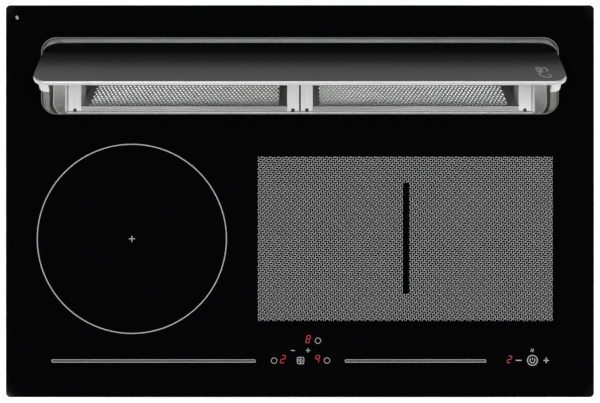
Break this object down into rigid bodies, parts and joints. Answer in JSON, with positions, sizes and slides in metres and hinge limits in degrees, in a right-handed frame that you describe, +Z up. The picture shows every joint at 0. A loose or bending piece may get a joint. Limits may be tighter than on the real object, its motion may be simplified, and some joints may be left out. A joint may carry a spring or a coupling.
{
  "type": "downdraft induction cooktop",
  "caption": "Drop-in black glass induction hob with a swivelling cover flap over two lift-out filter cassettes, a lying downdraft blower, an overflow container and a flat duct outlet.",
  "frame": {"origin": "middle of the hob on the plane of the worktop surface, which the glass seal rests on", "axes": "+X to the right along the hob width, +Y to the rear where the flap and duct outlet are, +Z up"},
  "size_m": [0.78, 0.52, 0.2668],
  "materials": {
    "black_glass": "polished black glass ceramic",
    "flap_glass_black": "polished black glass",
    "seal_rubber": "soft matt",
    "brushed_stainless": "brushed",
    "filter_metal": "expanded metal, satin",
    "galvanised_sheet": "galvanised",
    "black_plastic": "moulded",
    "grey_plastic": "moulded",
    "white_plastic": "moulded",
    "bush_plastic": "moulded",
    "die_cast": "die cast",
    "aluminium_sheet": "mill finish",
    "coil_copper": "lacquered litz wire",
    "ferrite_grey": "sintered",
    "mica_silver": "pressed mica",
    "board_green": "solder resist",
    "zinc_steel": "zinc plated",
    "display_dark": "tinted"
  },
  "bodies": {
    "hob": {"glass_plate": "black_glass", "worktop_seal": "seal_rubber", "opening_trim": "brushed_stainless", "support_frame": "galvanised_sheet", "intake_liner": "brushed_stainless", "throat_frame": "brushed_stainless", "filter_support_rib": "brushed_stainless", "chamber_lid": "galvanised_sheet", "chamber_nose": "galvanised_sheet", "upper_casing": "galvanised_sheet", "chamber_walls": "galvanised_sheet", "chamber_front": "galvanised_sheet", "chamber_floor": "galvanised_sheet", "hinge_bushes": "bush_plastic", "flap_motor": "die_cast", "flap_motor_bracket": "galvanised_sheet", "overflow_rails": "galvanised_sheet", "blower_gasket": "seal_rubber", "scroll_cover": "black_plastic", "scroll_housing": "black_plastic", "inlet_ring": "black_plastic", "blower_motor": "die_cast", "exhaust_collar": "black_plastic", "blower_control_box": "grey_plastic", "induction_tray": "galvanised_sheet", "fan_guards": "zinc_steel", "fan_housings": "black_plastic", "coil_plate": "aluminium_sheet", "tray_posts": "white_plastic", "induction_coils": "coil_copper", "coil_carriers": "white_plastic", "ferrite_bars": "ferrite_grey", "mica_sheets": "mica_silver", "power_boards": "board_green", "heat_sinks": "aluminium_sheet", "control_carrier": "white_plastic", "touch_board": "board_green", "display_modules": "display_dark", "mains_gland": "black_plastic", "terminal_block": "white_plastic", "hold_down_clamps": "zinc_steel", "fixing_screws": "zinc_steel"},
    "flap": {"flap_glass": "flap_glass_black", "flap_pan": "brushed_stainless", "flap_end_skirts": "brushed_stainless", "flap_hinge_pins": "zinc_steel", "sector_gear": "white_plastic", "flap_touch_sensor": "board_green"},
    "flap_drive": {"drive_pinion": "white_plastic"},
    "left_filter": {"left_filter_frame": "brushed_stainless", "left_filter_mesh": "filter_metal", "left_filter_rivets": "zinc_steel"},
    "right_filter": {"right_filter_frame": "brushed_stainless", "right_filter_mesh": "filter_metal", "right_filter_rivets": "zinc_steel"},
    "blower_wheel": {"impeller": "grey_plastic", "blower_shaft": "zinc_steel"},
    "left_fan": {"left_fan_rotor": "black_plastic"},
    "right_fan": {"right_fan_rotor": "black_plastic"},
    "overflow_drawer": {"overflow_container": "grey_plastic"}
  },
  "joints": [
    {"name": "flap_hinge", "type": "hinge", "parent": "hob", "child": "flap", "pos_m": [0, 0.1953, -0.0015], "axis": [-1, 0, 0], "range_deg": [-50, 0]},
    {"name": "flap_pinion", "type": "hinge", "parent": "hob", "child": "flap_drive", "pos_m": [-0.35, 0.1953, -0.0315], "axis": [-1, 0, 0], "range_deg": [-2, 202]},
    {"name": "left_filter_lift", "type": "slide", "parent": "hob", "child": "left_filter", "axis": [0, -0.342, 0.9397], "range_m": [0, 0.1]},
    {"name": "right_filter_lift", "type": "slide", "parent": "hob", "child": "right_filter", "axis": [0, -0.342, 0.9397], "range_m": [0, 0.1]},
    {"name": "blower_spin", "type": "hinge", "parent": "hob", "child": "blower_wheel", "pos_m": [0, 0.11, -0.16], "axis": [0, 0, 1], "continuous": true},
    {"name": "left_fan_spin", "type": "hinge", "parent": "hob", "child": "left_fan", "pos_m": [-0.232, 0.062, -0.05], "axis": [0, 0, 1], "continuous": true},
    {"name": "right_fan_spin", "type": "hinge", "parent": "hob", "child": "right_fan", "pos_m": [0.232, 0.062, -0.05], "axis": [0, 0, 1], "continuous": true},
    {"name": "overflow_drawer_slide", "type": "slide", "parent": "hob", "child": "overflow_drawer", "axis": [0, -1, 0], "range_m": [0, 0.12]}
  ],
  "couplings": [
    {"joint": "flap_pinion", "follows": "flap_hinge", "ratio": -4}
  ]
}
